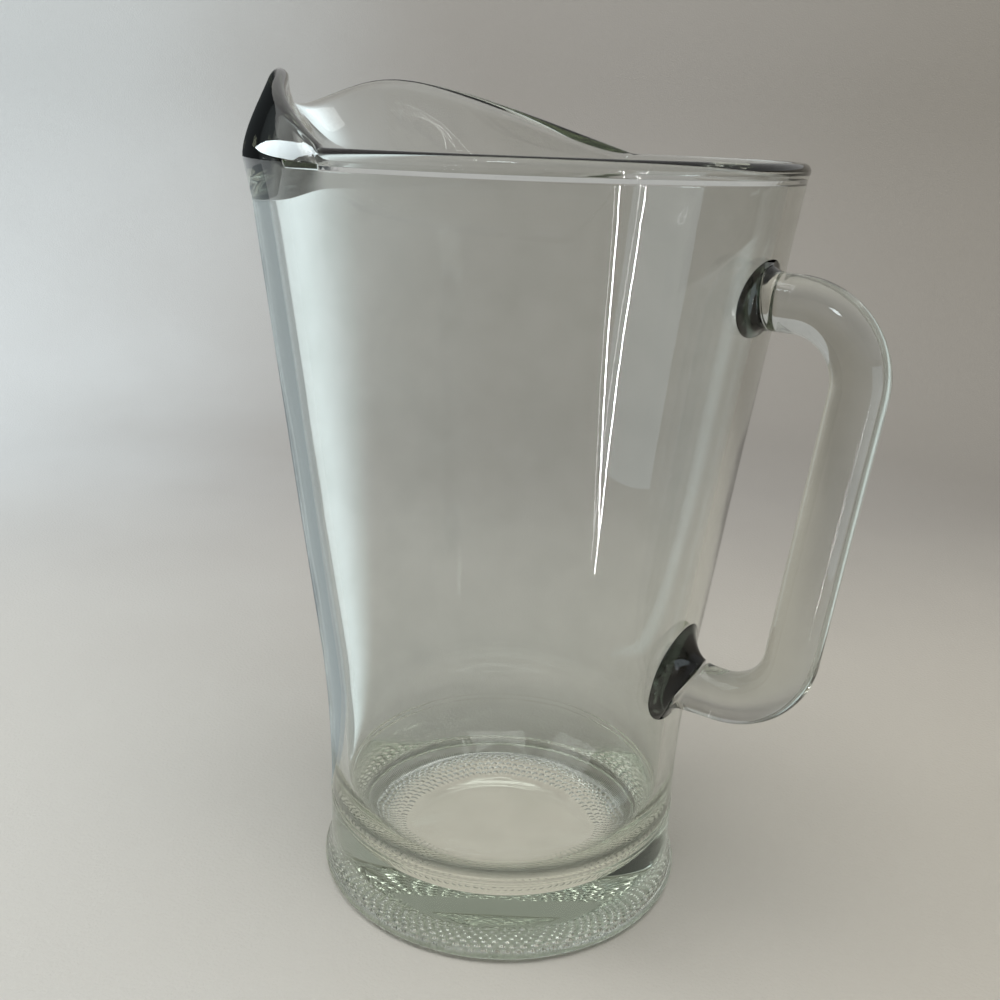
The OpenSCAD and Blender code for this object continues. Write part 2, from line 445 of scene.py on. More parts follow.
def stitch(low: np.ndarray, high: np.ndarray) -> list[np.ndarray]:
    """Faces between two closed rings of vertices, which look outwards when the rings run against the clock.

    Rings of one length are joined by four-sided faces. Where the second ring is a whole number of times
    finer, or coarser, each coarse edge gets a fan of triangles.

    Args:
        low: vertex numbers of the first ring.
        high: vertex numbers of the second ring.

    Returns:
        Arrays of faces, one for each kind.
    """
    if len(low) == len(high):
        return [np.stack([low, np.roll(low, -1), np.roll(high, -1), high], 1)]
    fine, coarse, rising = (high, low, True) if len(high) > len(low) else (low, high, False)
    share = len(fine) // len(coarse)
    near = np.repeat(coarse, share).reshape(-1, share)
    far = np.repeat(np.roll(coarse, -1), share).reshape(-1, share)
    apex = np.where(np.arange(share) < share // 2, near, far).ravel()
    fans = np.stack([apex, np.roll(fine, -1), fine], 1)
    bridges = np.stack([coarse, np.roll(coarse, -1), fine[share // 2 :: share]], 1)
    faces = np.concatenate([fans, bridges])
    return [faces if rising else faces[:, ::-1]]


def add_mesh(name: str, points: np.ndarray, faces: list[np.ndarray]) -> bpy.types.Object:
    """Adds an object with smooth shading to the scene, at the origin.

    Args:
        name: name of the object and of its mesh.
        points: its vertices.
        faces: arrays of its faces, one for each kind.

    Returns:
        The new object.
    """
    mesh = bpy.data.meshes.new(name)
    mesh.from_pydata(points.tolist(), [], [face for block in faces for face in block.tolist()])
    mesh.polygons.foreach_set("use_smooth", np.ones(len(mesh.polygons), bool))
    mesh.update()
    made = bpy.data.objects.new(name, mesh)
    bpy.context.scene.collection.objects.link(made)
    return made


def closed_mesh(name: str, rings: list[Ring], start: np.ndarray, end: np.ndarray) -> bpy.types.Object:
    """A closed skin over rings of points, with a point at each end.

    The faces round the start take the second material.

    Args:
        name: name of the object.
        rings: arrays of points, each a closed ring.
        start: point that closes the first ring.
        end: point that closes the last ring.

    Returns:
        The object, with smooth shading, at the origin.
    """
    counts = [len(ring) for ring in rings]
    first = np.concatenate([[0], np.cumsum(counts)])
    numbers = [np.arange(a, b) for a, b in zip(first[:-1], first[1:])]
    points = np.concatenate([*rings, start[None], end[None]])
    faces = [face for a, b in zip(numbers[:-1], numbers[1:]) for face in stitch(a, b)]
    opening, closing = numbers[0], numbers[-1]
    faces.append(np.stack([np.roll(opening, -1), opening, np.full(len(opening), first[-1])], 1))
    faces.append(np.stack([closing, np.roll(closing, -1), np.full(len(closing), first[-1] + 1)], 1))
    made = add_mesh(name, points, faces)
    parts = np.zeros(len(made.data.polygons), np.int32)
    parts[-len(opening) - len(closing) : -len(closing)] = 1
    made.data.polygons.foreach_set("material_index", parts)
    return made


def arc(centre: tuple[float, float], radius: float, start: float, end: float, steps: int) -> np.ndarray:
    """Points (r, z) of a circular arc, from one angle in degrees to another."""
    angle = np.radians(np.linspace(start, end, steps))
    return np.stack([centre[0] + radius * np.cos(angle), centre[1] + radius * np.sin(angle)], 1)


def line(start: tuple[float, float], end: tuple[float, float], steps: int) -> np.ndarray:
    """Points (r, z) of a straight line."""
    return np.linspace(start, end, steps)


def level_ring(point: np.ndarray | tuple, angle: np.ndarray) -> Ring:
    """A circle of points through a profile point (r, z), whose two parts may vary with the angle."""
    r, z = point
    return np.stack([r * np.cos(angle), r * np.sin(angle), np.broadcast_to(z, angle.shape)], 1)


@dataclass
class PitcherBody:
    """The pressed glass body: dished base, foot, band, tapered wall and pinched pouring lip."""

    finish: GlassFinish = GlassFinish("body_glass")
    rim_height: float = 0.209
    rim_radius: float = 0.07117
    rim_wall: float = 0.004
    heel_radius: float = 0.052
    heel_wall: float = 0.0047
    heel_height: float = 0.027
    heel_curve: float = 0.400
    floor_height: float = 0.012
    floor_fillet: float = 0.005
    thick_height: float = 0.0378
    thick_run: float = 0.0198
    thick_depth: float = 0.0074
    thick_power: float = 2.5
    band_radius: float = 0.0522
    groove_height: float = 0.0246
    groove_width: float = 0.0018
    groove_depth: float = 0.00012
    foot_radius: float = 0.0542
    foot_height: float = 0.009
    foot_round: float = 0.0024
    toe_reach: float = 0.0046
    dish_radius: float = 0.030
    dish_depth: float = 0.0014
    lip_rise: float = 0.02085
    lip_half_angle: float = 85.0
    pour_dip: float = 0.010
    pour_dip_angle: float = 12.0
    lip_pinch: float = 0.0074
    pour_reach: float = 0.0195
    pour_reach_angle: float = 11.6
    lip_curl: float = 1.5
    lip_root: float = 0.0014
    lean_fade: float = 3.0
    lip_swell: float = 0.5
    lip_taper: float = 0.2
    ring_height: float = 0.012
    stipple_depth: float = 0.0007
    stipple_rows: float = 7.0
    stipple_bars: int = 96
    stipple_edge: float = 12.0
    row_sways: tuple[tuple[float, int, float], ...] = ((0.18, 7, 1.3), (0.12, 17, 0.0))
    dot_sway: tuple[float, int, float] = (0.006, 29, 9.0)
    wave_height: float = 0.00005
    waves: tuple[tuple[int, float, float], ...] = ((3, 70.0, 0.4), (5, -46.0, 1.9), (8, 31.0, 3.1))
    wave_fade: float = 0.02
    columns: int = 256
    fine_share: int = 4
    crowding: float = 0.4
    dish_start: float = 0.08
    dish_steps: int = 12
    bearing_steps: int = 36
    toe_steps: int = 11
    flare_steps: int = 10
    band_gap: float = 0.0011
    band_steps: int = 9
    groove_steps: int = 9
    groove_gap: float = 0.0004
    heel_steps: int = 3
    outer_low: float = 0.029
    outer_steps: int = 36
    ring_gap: float = 0.001
    ring_spare: float = 0.0001
    ring_steps: int = 6
    lip_onset: float = 4.0
    lip_steps: int = 15
    edge_steps: int = 13
    inner_steps: int = 46
    inner_gap: float = 0.001
    fillet_steps: int = 13
    hub_radius: float = 0.003
    floor_steps: int = 10
    outer_slope: float = field(init=False)
    inner_slope: float = field(init=False)

    def __post_init__(self) -> None:
        """Works out the slopes of the two wall surfaces."""
        self.outer_slope = self.slope(self.heel_radius, self.rim_radius)
        self.inner_slope = self.slope(self.heel_radius - self.heel_wall, self.rim_radius - self.rim_wall)

    def slope(self, low: float, high: float) -> float:
        """Slope of a wall that starts upright, follows the heel curve and runs straight to the rim.

        Args:
            low: radius at the heel.
            high: radius at the rim.

        Returns:
            The angle from upright, in radians.
        """
        rise, side = self.rim_height - self.heel_height, self.heel_curve - (high - low)
        return math.atan2(rise, side) - math.acos(self.heel_curve / math.hypot(rise, side))

    def radius(self, z: np.ndarray, side: Side) -> np.ndarray:
        """Radius of one wall surface: upright, then the heel's arc, then straight.

        Args:
            z: heights.
            side: which of the two surfaces.

        Returns:
            The radius at each height.
        """
        outer = side is Side.OUTER
        low = self.heel_radius - (0.0 if outer else self.heel_wall)
        slope = self.outer_slope if outer else self.inner_slope
        bend = self.heel_curve * math.sin(slope)
        up = np.asarray(z, float) - self.heel_height
        curved = low + self.heel_curve - np.sqrt(np.maximum(self.heel_curve**2 - up**2, 0.0))
        straight = low + self.heel_curve * (1 - math.cos(slope)) + (up - bend) * math.tan(slope)
        return np.where(up <= 0, low, np.where(up < bend, curved, straight))

    def inside(self, z: float) -> float:
        """Radius of the inside at a height, which a power of the depth narrows towards the floor."""
        share = max(self.thick_height - z, 0.0) / self.thick_run
        return float(self.radius(z, Side.INNER)) - self.thick_depth * share**self.thick_power

    def middle(self, z: np.ndarray) -> np.ndarray:
        """Radius half way through the wall at a height."""
        return (self.radius(z, Side.OUTER) + self.radius(z, Side.INNER)) / 2

    def angles(self, count: int) -> np.ndarray:
        """Angles around the body, closer together at the lip."""
        even = np.arange(count) * 2 * math.pi / count
        return even + self.crowding * np.sin(even)

    def lip_share(self, phi: np.ndarray) -> np.ndarray:
        """1 at the pouring point, falling as a quarter cosine to 0 where the lip meets the level rim."""
        return np.cos(np.minimum(phi / self.lip_half_angle, 1.0) * math.pi / 2)

    def lip_height(self, phi: np.ndarray) -> np.ndarray:
        """Height of the edge above the rim: the share of the rise, less a bell-shaped pouring dip."""
        dip = self.pour_dip * np.exp(-((phi / self.pour_dip_angle) ** 2))
        return self.lip_rise * self.lip_share(phi) - dip

    def lip_lean(self, phi: np.ndarray) -> np.ndarray:
        """Outward lean of the edge: one over a hyperbolic cosine at the pouring point, less the pinch.

        Args:
            phi: angles from the pouring point, in degrees.

        Returns:
            The lean at each angle.
        """
        share = self.lip_share(phi)
        onset = np.minimum(1.0, self.lip_onset * share)
        reach = self.pour_reach / np.cosh(phi / self.pour_reach_angle) * onset
        return reach - self.lip_pinch * (1 - (1 - share) ** self.lean_fade)

    def stippled(self, point: np.ndarray, angle: np.ndarray) -> Ring:
        """A ring of the bearing face, with its pressed dots.

        The dots are pits where a wave around the ring and a wave along the radius are both high. Each
        second row is shifted by half a dot, and slow waves jostle the rows and the dots.

        Args:
            point: profile point (r, z).
            angle: angles around the body.

        Returns:
            The ring's points.
        """
        r, z = point
        inner, outer = self.dish_radius, self.foot_radius - self.toe_reach
        share = (r - inner) / (outer - inner)
        row = share * self.stipple_rows
        for amount, waves, begin in self.row_sways:
            row = row + amount * np.sin(waves * angle + begin)
        amount, waves, drift = self.dot_sway
        shift = math.pi / self.stipple_bars * np.floor(row)
        turn = angle + amount * np.sin(waves * angle + drift * share) + shift
        dots = np.sin(row * math.pi) ** 2 * (1 + np.cos(self.stipple_bars * turn)) / 2
        edge = min(1.0, self.stipple_edge * share, self.stipple_edge * (1 - share))
        return level_ring((r, z + self.stipple_depth * edge * dots), angle)

    def base_rings(self) -> list[Ring]:
        """Rings from the middle of the dish, over the stippled bearing face and the foot, to the heel.

        The dish is a ball's cap, the toe a quarter ellipse, the flare and the groove arcs of circles.

        Returns:
            The rings in order.
        """
        coarse = self.angles(self.columns)
        fine = self.angles(self.columns * self.fine_share)
        bearing_end = self.foot_radius - self.toe_reach
        ball = (self.dish_radius**2 + self.dish_depth**2) / (2 * self.dish_depth)
        dish_r = np.linspace(self.dish_start, 1.0, self.dish_steps) * self.dish_radius
        dish_z = np.sqrt(ball**2 - dish_r**2) + self.dish_depth - ball
        bearing = line((self.dish_radius, 0.0), (bearing_end, 0.0), self.bearing_steps)[1:-1]
        toe = arc((0.0, self.foot_round), self.foot_round, -90, 0, self.toe_steps)
        toe[:, 0] = bearing_end + toe[:, 0] * self.toe_reach / self.foot_round
        rise, run = self.foot_height - self.foot_round, self.foot_radius - self.band_radius
        bend = (rise**2 + run**2) / (2 * run)
        flare_centre = (self.band_radius + bend, self.foot_height)
        flare = arc(flare_centre, bend, 180 + math.degrees(math.asin(rise / bend)), 180, self.flare_steps)
        cut = ((self.groove_width / 2) ** 2 + self.groove_depth**2) / (2 * self.groove_depth)
        half = math.degrees(math.asin(self.groove_width / 2 / cut))
        groove_centre = (self.band_radius - self.groove_depth + cut, self.groove_height)
        groove = arc(groove_centre, cut, 180 + half, 180 - half, self.groove_steps)
        band_end = (self.band_radius, self.groove_height - self.band_gap)
        band = line((self.band_radius, self.foot_height), band_end, self.band_steps)[1:]
        return [
            *[level_ring(point, coarse) for point in np.stack([dish_r, dish_z], 1)],
            *[self.stippled(point, fine) for point in bearing],
            *[level_ring(point, fine) for point in toe],
            *[level_ring(point, coarse) for point in np.concatenate([flare[1:], band, groove])],
        ]

    def wall_rings(self, side: Side, heights: np.ndarray) -> list[Ring]:
        """Rings of the plain wall, with the slow waves of pressed glass.

        Each wave is a sine of the angle and the height, and the waves fade out at both ends of the wall.

        Args:
            side: which surface of the wall.
            heights: height of each ring.

        Returns:
            The rings in order.
        """
        angle = self.angles(self.columns)
        rings = []
        for z in heights:
            wave = sum(np.sin(n * angle + k * z + begin) for n, k, begin in self.waves)
            fade = min(1.0, abs(z - heights[0]) / self.wave_fade, abs(z - heights[-1]) / self.wave_fade)
            plain = self.radius(z, side) if side is Side.OUTER else self.inside(z)
            rings.append(level_ring((plain + self.wave_height * fade * wave, z), angle))
        return rings

    def lip_rings(self) -> list[Ring]:
        """Rings up the outside of the rim and the lip, over the round edge and down the inside.

        The middle line carries the wall's line on upwards. From the lip's root it departs from that line by
        the lean times a power of the share of its height. The surfaces stand half a wall off it, along its
        normal, and a half circle closes the edge.

        Returns:
            The rings in order.
        """
        angle = self.angles(self.columns)
        phi = np.degrees(np.abs(angle - math.pi))
        half_wall = (self.rim_wall + self.ring_spare) / 2 * math.cos(self.outer_slope)
        ring_z = self.rim_height - self.ring_height
        root_z = self.rim_height - self.lip_root - half_wall
        s = np.linspace(0.0, 1.0, self.lip_steps)[:, None]
        ramp = np.concatenate([np.linspace(0.0, 1.0, self.ring_steps + 1)[:-1, None], np.ones_like(s)])
        thin = np.concatenate([np.zeros((self.ring_steps, 1)), s])
        half_wall = half_wall * (1 + self.lip_share(phi) * (self.lip_swell * ramp - self.lip_taper * thin))
        edge_z = self.rim_height - half_wall[-1] + self.lip_height(phi)
        edge_r = self.middle(self.rim_height) + self.lip_lean(phi)
        half_wall = half_wall[..., None]
        lip_z = root_z + (edge_z - root_z) * s
        lip_r = self.middle(lip_z) + (edge_r - self.middle(edge_z)) * s**self.lip_curl
        below = np.linspace(ring_z, root_z, self.ring_steps + 1)[:-1, None] * np.ones_like(angle)
        z = np.concatenate([below, lip_z])
        r = np.concatenate([self.middle(below), lip_r])
        along = np.stack([np.gradient(r, axis=0), np.gradient(z, axis=0)], -1)
        along /= np.linalg.norm(along, axis=-1, keepdims=True)
        across = np.stack([along[..., 1], -along[..., 0]], -1)
        spine = np.stack([r, z], -1)
        turn = np.radians(np.linspace(0, 180, self.edge_steps))[1:-1, None, None]
        edge = spine[-1] + half_wall[-1] * (np.cos(turn) * across[-1] + np.sin(turn) * along[-1])
        profile = np.concatenate([spine + half_wall * across, edge, (spine - half_wall * across)[::-1]])
        return [level_ring(points.T, angle) for points in profile]

    def floor_rings(self) -> list[Ring]:
        """Rings round the small fillet, which touches the tapering wall, and over the floor.

        Returns:
            The rings in order, down to the smallest about the middle.
        """
        angle = self.angles(self.columns)
        z = self.floor_height + self.floor_fillet
        lean = math.atan((self.inside(z) - self.inside(z - self.inner_gap)) / self.inner_gap)
        touch = z - self.floor_fillet * math.sin(lean)
        corner = (self.inside(touch) - self.floor_fillet * math.cos(lean), z)
        fillet = arc(corner, self.floor_fillet, -math.degrees(lean), -90, self.fillet_steps)
        hub = (self.hub_radius, self.floor_height)
        floor = line((corner[0], self.floor_height), hub, self.floor_steps)[1:]
        return [level_ring(point, angle) for point in np.concatenate([fillet, floor])]

    def build(self) -> list[bpy.types.Object]:
        """Makes the closed glass skin of the body.

        Returns:
            The body alone, riding on the part and standing for its CAD node.
        """
        ring_z = self.rim_height - self.ring_height
        low, high = self.groove_height + self.groove_width / 2 + self.groove_gap, ring_z - self.ring_gap
        heel = np.linspace(low, self.heel_height, self.heel_steps)
        outer = np.concatenate([heel, np.linspace(self.outer_low, high, self.outer_steps)])
        inner_low = self.floor_height + self.floor_fillet + self.inner_gap
        inner = np.linspace(high, inner_low, self.inner_steps)
        rings = [
            *self.base_rings(),
            *self.wall_rings(Side.OUTER, outer),
            *self.lip_rings(),
            *self.wall_rings(Side.INNER, inner),
            *self.floor_rings(),
        ]
        under, over = (np.array([0.0, 0.0, z]) for z in (self.dish_depth, self.floor_height))
        piece = closed_mesh("glass_body", rings, under, over)
        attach(piece, "root")
        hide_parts("body")
        return [piece]

    def dress(self, pieces: list[bpy.types.Object]) -> None:
        """Gives the body its glass, on both of its material places.

        Args:
            pieces: the body alone.
        """
        glass = self.finish.material()
        pieces[0].data.materials.append(glass)
        pieces[0].data.materials.append(glass)


@dataclass(frozen=True)
class Flare:
    """How far the glass spreads beyond the rod at the wall, and the distance over which that fades."""

    spread: float
    fade: float


@dataclass(frozen=True)
class PadForm:
    """The flared gather of glass between one arm of the handle and the wall."""

    node: str
    seam: float
    seam_slope: float
    side: Flare
    top: Flare
    low: Flare


@dataclass
class RodHandle:
    """The solid rod handle, bent to a D, and the two flared pads that join it to the wall."""

    finish: GlassFinish
    pad_finish: GlassFinish
    joint: JointFinish
    body: PitcherBody
    rod_radius: float = 0.0068
    drop: float = 0.0306
    span: float = 0.1029
    upper_bend: float = 0.017
    lower_bend: float = 0.018
    upper_arm: float = 0.0082
    lower_arm: float = 0.0125
    sink: float = 0.0003
    seam_gap: float = 0.00008
    end_round: float = 0.0016
    around: int = 96
    bend_steps: int = 40
    grip_steps: int = 30
    seam_rounds: int = 12
    pad_steps: int = 25
    pad_power: float = 1.5
    end_steps: int = 9
    arm_steps: int = 11
    upper: PadForm = PadForm(
        node="upper_handle_pad",
        seam=0.0016,
        seam_slope=-0.07,
        side=Flare(0.0050, 0.0016),
        top=Flare(0.0026, 0.0016),
        low=Flare(0.0020, 0.0016),
    )
    lower: PadForm = PadForm(
        node="lower_handle_pad",
        seam=0.0032,
        seam_slope=0.50,
        side=Flare(0.0057, 0.0016),
        top=Flare(0.0097, 0.0046),
        low=Flare(0.0044, 0.0016),
    )

    def __post_init__(self) -> None:
        """Works out the heights of the two arms and the angles around the rod."""
        self.upper_z = self.body.rim_height - self.drop
        self.lower_z = self.upper_z - self.span
        self.angle = np.arange(self.around) * 2 * math.pi / self.around

    def wall(self, z: float) -> float:
        """Radius of the body's outside at the height of an arm."""
        return float(self.body.radius(z, Side.OUTER))

    def path(self) -> tuple[np.ndarray, np.ndarray]:
        """Centre line in the XZ plane from the upper arm's bend to the lower arm's bend.

        The arms are level. Each bend is an arc that turns into the grip, and the grip is the straight line
        that touches both bends.

        Returns:
            Points (x, z) and the directions of the line at them.
        """
        x1, x2 = self.wall(self.upper_z) + self.upper_arm, self.wall(self.lower_z) + self.lower_arm
        shift, fall = x1 - x2, self.span - self.upper_bend - self.lower_bend
        growth = (self.lower_bend - self.upper_bend) / math.hypot(shift, fall)
        turned = math.degrees(math.atan2(shift, fall) - math.asin(growth))
        upper_centre = (x1, self.upper_z - self.upper_bend)
        lower_centre = (x2, self.lower_z + self.lower_bend)
        upper = arc(upper_centre, self.upper_bend, 90, -turned, self.bend_steps)
        lower = arc(lower_centre, self.lower_bend, -turned, -90, self.bend_steps)
        grip = line(upper[-1], lower[0], self.grip_steps)[1:-1]
        points = np.concatenate([upper, grip, lower])
        direction = np.gradient(points, axis=0)
        return points, direction / np.linalg.norm(direction, axis=1, keepdims=True)

    def footprints(self) -> tuple[Footprint, ...]:
        """Outlines of both pads on the wall.

        Returns:
            The upper pad's outline and the lower one's.
        """
        return tuple(
            Footprint(
                z,
                self.rod_radius + form.side.spread,
                self.rod_radius + form.top.spread,
                self.rod_radius + form.low.spread,
                float(self.body.middle(z)),
            )
            for z, form in ((self.upper_z, self.upper), (self.lower_z, self.lower))
        )

    def spread(self, form: PadForm) -> np.ndarray:
        """Spread at the wall, which blends the side flare with the top or the bottom one.

        Args:
            form: the pad's form.

        Returns:
            The spread at each angle about the arm.
        """
        rise = np.sin(self.angle)
        upright = np.where(rise > 0, form.top.spread, form.low.spread)
        return form.side.spread * np.cos(self.angle) ** 2 + upright * rise**2

    def contact(self, z: float, form: PadForm) -> np.ndarray:
        """Distance from the body's axis plane to the wall, where each angle's flare meets it.

        Args:
            z: height of the arm's axis.
            form: the pad's form.

        Returns:
            The distance at each angle about the arm.
        """
        end = self.rod_radius + self.spread(form)
        radius = self.body.radius(z + end * np.sin(self.angle), Side.OUTER)
        return np.sqrt(radius**2 - (end * np.cos(self.angle)) ** 2)

    def arm_ring(self, z: float, form: PadForm, arm: float, x: np.ndarray) -> Ring:
        """A ring of an arm at the given distances from the body's axis plane.

        At each angle the radius is the rod's plus the spread, which falls off with the distance from the
        wall as an exponential, and to nothing at the end of the arm.

        Args:
            z: height of the arm's axis.
            form: the form of its pad.
            arm: length of the arm.
            x: distance at each angle about the arm.

        Returns:
            The ring's points.
        """
        rise = np.sin(self.angle)
        upright = np.where(rise > 0, form.top.fade, form.low.fade)
        fade = form.side.fade * np.cos(self.angle) ** 2 + upright * rise**2
        off = np.maximum(x - self.contact(z, form), 0.0)
        left = np.clip(1 - off / arm, 0.0, 1.0) ** 2
        r = self.rod_radius + self.spread(form) * np.exp(-off / fade) * left
        return np.stack([x, r * np.cos(self.angle), z + r * rise], 1)

    def seam(self, z: float, form: PadForm, arm: float) -> np.ndarray:
        """Distances at which the leaning plane of the seam cuts the arm's surface, found step by step.

        Args:
            z: height of the arm's axis.
            form: the form of its pad.
            arm: length of the arm.

        Returns:
            The distance at each angle about the arm.
        """
        middle = self.wall(z) + form.seam
        x = np.full(self.around, middle)
        for _ in range(self.seam_rounds):
            height = self.arm_ring(z, form, arm, x)[:, 2] - z
            x = x / 2 + (middle + form.seam_slope * height) / 2
        return x

    def pad_rings(self, z: float, form: PadForm, arm: float) -> list[Ring]:
        """Rings of a pad from the wall, where it sinks in by a hair, to its seam with the rod.

        Args:
            z: height of the arm's axis.
            form: the form of its pad.
            arm: length of the arm.

        Returns:
            The rings in order, closer together at the wall.
        """
        low, high = self.contact(z, form) - self.sink, self.seam(z, form, arm)
        shares = np.linspace(0.0, 1.0, self.pad_steps) ** self.pad_power
        return [self.arm_ring(z, form, arm, low + (high - low) * share) for share in shares]

    def rod_rings(self, z: float, form: PadForm, arm: float) -> list[Ring]:
        """Rings of an arm from its seam, where the rod's end is rounded, to its bend.

        Args:
            z: height of the arm's axis.
            form: the form of its pad.
            arm: length of the arm.

        Returns:
            The rings in order.
        """
        low, high = self.seam(z, form, arm) + self.seam_gap, self.wall(z) + arm
        rings = []
        for turn in np.linspace(0.0, math.pi / 2, self.end_steps)[:-1]:
            full = self.arm_ring(z, form, arm, low + self.end_round * (1 - math.cos(turn)))
            rings.append(self.shrunk(full, z, 1 - math.sin(turn)))
        start = low + self.end_round
        shares = np.linspace(0.0, 1.0, self.arm_steps)[:-1]
        return rings + [self.arm_ring(z, form, arm, start + (high - start) * share) for share in shares]

    def shrunk(self, ring: Ring, z: float, share: float) -> Ring:
        """A ring of an arm, drawn in towards the arm's axis.

        Args:
            ring: the ring's points.
            z: height of the arm's axis.
            share: share of the rounding at the rod's end.

        Returns:
            The points of the smaller ring.
        """
        axis = np.array([0.0, 0.0, z]) * np.ones_like(ring)
        axis[:, 0] = ring[:, 0]
        return ring + (axis - ring) * share * self.end_round / self.rod_radius

    def build_pad(self, z: float, form: PadForm, arm: float) -> bpy.types.Object:
        """Makes one closed pad.

        Args:
            z: height of the arm's axis.
            form: the form of its pad.
            arm: length of the arm.

        Returns:
            The pad, riding on the part and standing for its CAD node.
        """
        rings = self.pad_rings(z, form, arm)
        piece = closed_mesh("glass_" + form.node, rings, rings[0].mean(0), rings[-1].mean(0))
        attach(piece, "root")
        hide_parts(form.node)
        return piece

    def build_rod(self) -> bpy.types.Object:
        """Makes the closed rod from seam to seam.

        Returns:
            The rod, riding on the part and standing for its CAD node.
        """
        points, along = self.path()
        side, up = np.cos(self.angle) * self.rod_radius, np.sin(self.angle) * self.rod_radius
        bends = [np.stack([x - up * dz, side, z + up * dx], 1) for (x, z), (dx, dz) in zip(points, along)]
        flip = (-np.arange(self.around)) % self.around
        end = [ring[flip] for ring in self.rod_rings(self.lower_z, self.lower, self.lower_arm)[::-1]]
        rings = [*self.rod_rings(self.upper_z, self.upper, self.upper_arm), *bends, *end]
        piece = closed_mesh("glass_handle", rings, rings[0].mean(0), rings[-1].mean(0))
        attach(piece, "root")
        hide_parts("handle")
        return piece

    def build(self) -> list[bpy.types.Object]:
        """Makes the rod and its two pads.

        Returns:
            The pieces, riding on the part and each standing for its CAD node.
        """
        return [
            self.build_rod(),
            self.build_pad(self.upper_z, self.upper, self.upper_arm),
            self.build_pad(self.lower_z, self.lower, self.lower_arm),
        ]

    def dress(self, pieces: list[bpy.types.Object]) -> None:
        """Gives the rod and its pads their glass, darker copies of the body's that carry painted shade, and
        the pads a clear joint with the wall.

        Args:
            pieces: the rod, then the pads.
        """
        rod, *pads = pieces
        finishes = self.finish, self.pad_finish, self.joint
        painted_shade_rod_glass, painted_shade_pad_glass, joint = (finish.material() for finish in finishes)
        for piece, glass, cap in ((rod, painted_shade_rod_glass, painted_shade_rod_glass), *((pad, painted_shade_pad_glass, joint) for pad in pads)):
            piece.data.materials.append(glass)
            piece.data.materials.append(cap)


@dataclass(frozen=True)
class Softbox:
    """A flat lamp, placed from the camera's heading: to the right, away from the camera, and up."""

    name: str
    place: Place
    aim: Place
    width: float
    height: float
    power: float
    spread: float = 180.0
    roll: float = 0.0
    shines: bool = True


@dataclass(frozen=True)
class Card:
    """A card between two headings from the camera's, in degrees, and two distances from the body's left.

    It fades between its right edge and the heading where it is solid. It runs from a height at the near
    distance to another at the far one, so that one of equal heights lies flat and one of equal distances
    stands.
    """

    name: str
    right: float
    solid: float
    left: float
    near: float
    far: float
    low: float
    high: float
    level: float
    colour: Colour = (0.86, 0.97, 1.0)
    start: float = -0.05
    through: bool = True
    shines: bool = True

    def finish(self, heading: float) -> CardFinish:
        """Its glow, which fades towards its right edge."""
        return CardFinish(self.name, self.colour, self.level, self.solid, self.right, self.start, heading)

    def corner(self, heading: float, distance: float, up: float) -> Place:
        """One corner, at a heading, a distance and a height."""
        turn = math.radians(heading)
        return self.start + distance * math.sin(turn), distance * math.cos(turn), up

    def corners(self) -> list[Place]:
        """Its corners from the camera's heading: to the right, away from the camera, and up.

        Returns:
            The four corners in order.
        """
        near, far = (self.near, self.low), (self.far, self.high)
        edges = (self.left, near), (self.right, near), (self.right, far), (self.left, far)
        return [self.corner(heading, *rest) for heading, rest in edges]


@dataclass(frozen=True)
class Pane:
    """An even pane that shows in or through the glass, by its corners: to the right, away and up."""

    name: str
    level: float
    places: tuple[Place, ...]
    through: bool = False
    shines: bool = True
    colour: Colour = (0.86, 0.97, 1.0)
    no_fade: Limits = (180.0, 181.0)

    def finish(self, heading: float) -> CardFinish:
        """Its glow, which does not fade."""
        return CardFinish(self.name, self.colour, self.level, *self.no_fade, 0.0, heading)

    def corners(self) -> list[Place]:
        """Its corners in order."""
        return list(self.places)


